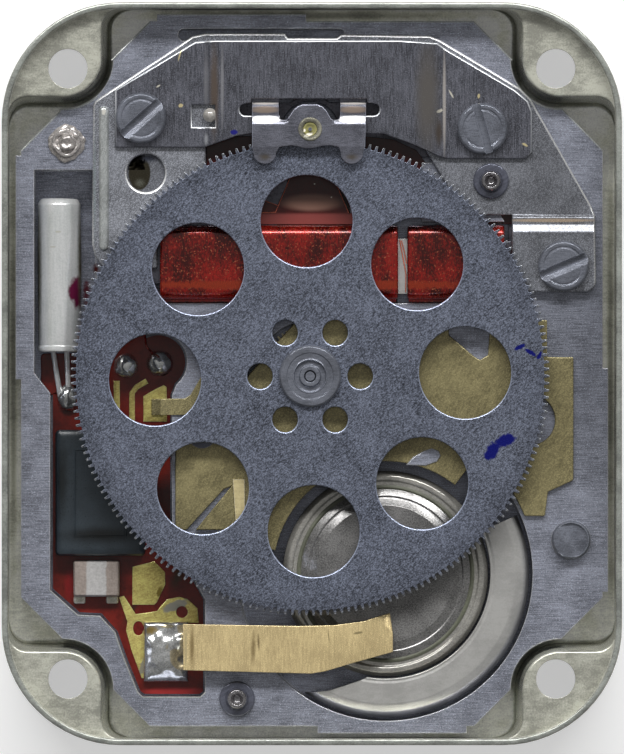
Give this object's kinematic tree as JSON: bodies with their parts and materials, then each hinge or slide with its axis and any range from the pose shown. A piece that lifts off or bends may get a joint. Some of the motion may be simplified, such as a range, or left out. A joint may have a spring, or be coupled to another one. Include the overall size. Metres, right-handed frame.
{
  "type": "watch movement",
  "caption": "Open-back quartz watch movement in a drawn metal tray, with a stepping motor, a large holed seconds wheel, a geared hand train, a coil and a button cell.",
  "frame": {"origin": "middle of the tray's footprint, on the plane of its bottom edge", "axes": "+Z out of the open back, +Y towards the stepping motor, +X to the right seen from the back"},
  "size_m": [0.0348, 0.0418, 0.0077],
  "materials": {
    "tray_metal": "drawn sheet, satin, slightly warm",
    "plate_nickel": "nickel plate over brass, fine milling lines",
    "frame_nickel": "matte nickel plate, tumbled",
    "bridge_steel": "dark brushed steel",
    "spring_steel": "bright spring steel",
    "wheel_metal": "dark speckled nickel plate",
    "turned_steel": "polished turned steel",
    "dark_steel": "blackened steel screw",
    "soft_iron": "annealed magnetic iron, matte",
    "magnet": "sintered magnet, matte",
    "brass": "plain brass, satin",
    "pale_brass": "pale rolled brass strip",
    "olive_brass": "dull olive nickel silver",
    "gold_copper": "gold plate on copper",
    "coil_enamel": "red enamel on copper wire, glossy",
    "film": "red translucent tape",
    "crystal_metal": "bright nickel silver can",
    "tin": "solder and tin plate",
    "board": "dark red resin board",
    "ic_resin": "dark moulded resin",
    "capacitor_ceramic": "pale ceramic with tinned ends",
    "cell_steel": "nickel plated steel",
    "gasket": "black seal",
    "ruby": "synthetic ruby"
  },
  "bodies": {
    "frame": {"movement_tray": "tray_metal", "main_plate": "plate_nickel", "frame_plate": "frame_nickel", "motor_bridge": "bridge_steel", "jewel_clip": "spring_steel", "jewel_setting": "brass", "upper_rotor_jewel": "ruby", "lower_rotor_jewel": "ruby", "plate_screws": "dark_steel", "crimped_stud": "frame_nickel", "locating_post": "turned_steel", "flanged_posts": "turned_steel", "stop_pin": "turned_steel", "stator": "soft_iron", "coil_core": "soft_iron", "coil_bodies": "coil_enamel", "coil_winding_left": "coil_enamel", "coil_winding_right": "coil_enamel", "coil_film": "film", "crystal_can": "crystal_metal", "crystal_leads": "crystal_metal", "circuit_board": "board", "board_pads": "gold_copper", "ic_package": "ic_resin", "chip_capacitor": "capacitor_ceramic", "solder_joints": "tin", "contact_terminal": "tin", "battery_contact": "pale_brass", "cell_can": "cell_steel", "cell_gasket": "gasket", "cell_cap": "cell_steel", "cell_strap": "spring_steel", "train_bridge": "olive_brass", "train_bridge_screws": "dark_steel", "centre_bush": "brass", "contact_finger": "olive_brass", "pressure_finger": "brass", "motion_cover": "brass", "cover_screws": "dark_steel"},
    "seconds": {"seconds_wheel": "wheel_metal", "seconds_hub": "turned_steel", "seconds_arbor": "turned_steel"},
    "rotor": {"rotor_magnet": "magnet", "rotor_arbor": "turned_steel"},
    "third": {"third_wheel": "brass", "third_arbor": "turned_steel"},
    "centre": {"centre_wheel": "brass", "cannon_pinion": "brass"},
    "minute": {"minute_wheel": "brass", "minute_arbor": "turned_steel"},
    "hour": {"hour_wheel": "brass"}
  },
  "joints": [
    {"name": "seconds_turn", "type": "hinge", "parent": "frame", "child": "seconds", "pos_m": [-0.0001, -0.00014, 0.0067], "axis": [0, 0, 1], "continuous": true},
    {"name": "rotor_turn", "type": "hinge", "parent": "frame", "child": "rotor", "pos_m": [-0.0001, 0.01376, 0.0067], "axis": [0, 0, 1], "continuous": true},
    {"name": "third_turn", "type": "hinge", "parent": "frame", "child": "third", "pos_m": [-0.00303, -0.00151, 0.0046], "axis": [0, 0, 1], "continuous": true},
    {"name": "centre_turn", "type": "hinge", "parent": "frame", "child": "centre", "pos_m": [-0.0001, -0.00014, 0.0039], "axis": [0, 0, 1], "continuous": true},
    {"name": "minute_wheel_turn", "type": "hinge", "parent": "frame", "child": "minute", "pos_m": [-0.00197, 0.00094, 0.0026], "axis": [0, 0, 1], "continuous": true},
    {"name": "hour_turn", "type": "hinge", "parent": "frame", "child": "hour", "pos_m": [-0.0001, -0.00014, 0.0022], "axis": [0, 0, 1], "continuous": true}
  ],
  "couplings": [
    {"joint": "rotor_turn", "follows": "seconds_turn", "ratio": -30},
    {"joint": "third_turn", "follows": "seconds_turn", "ratio": -0.13333},
    {"joint": "centre_turn", "follows": "seconds_turn", "ratio": 0.016667},
    {"joint": "minute_wheel_turn", "follows": "seconds_turn", "ratio": -0.0055556},
    {"joint": "hour_turn", "follows": "seconds_turn", "ratio": 0.0013889}
  ]
}
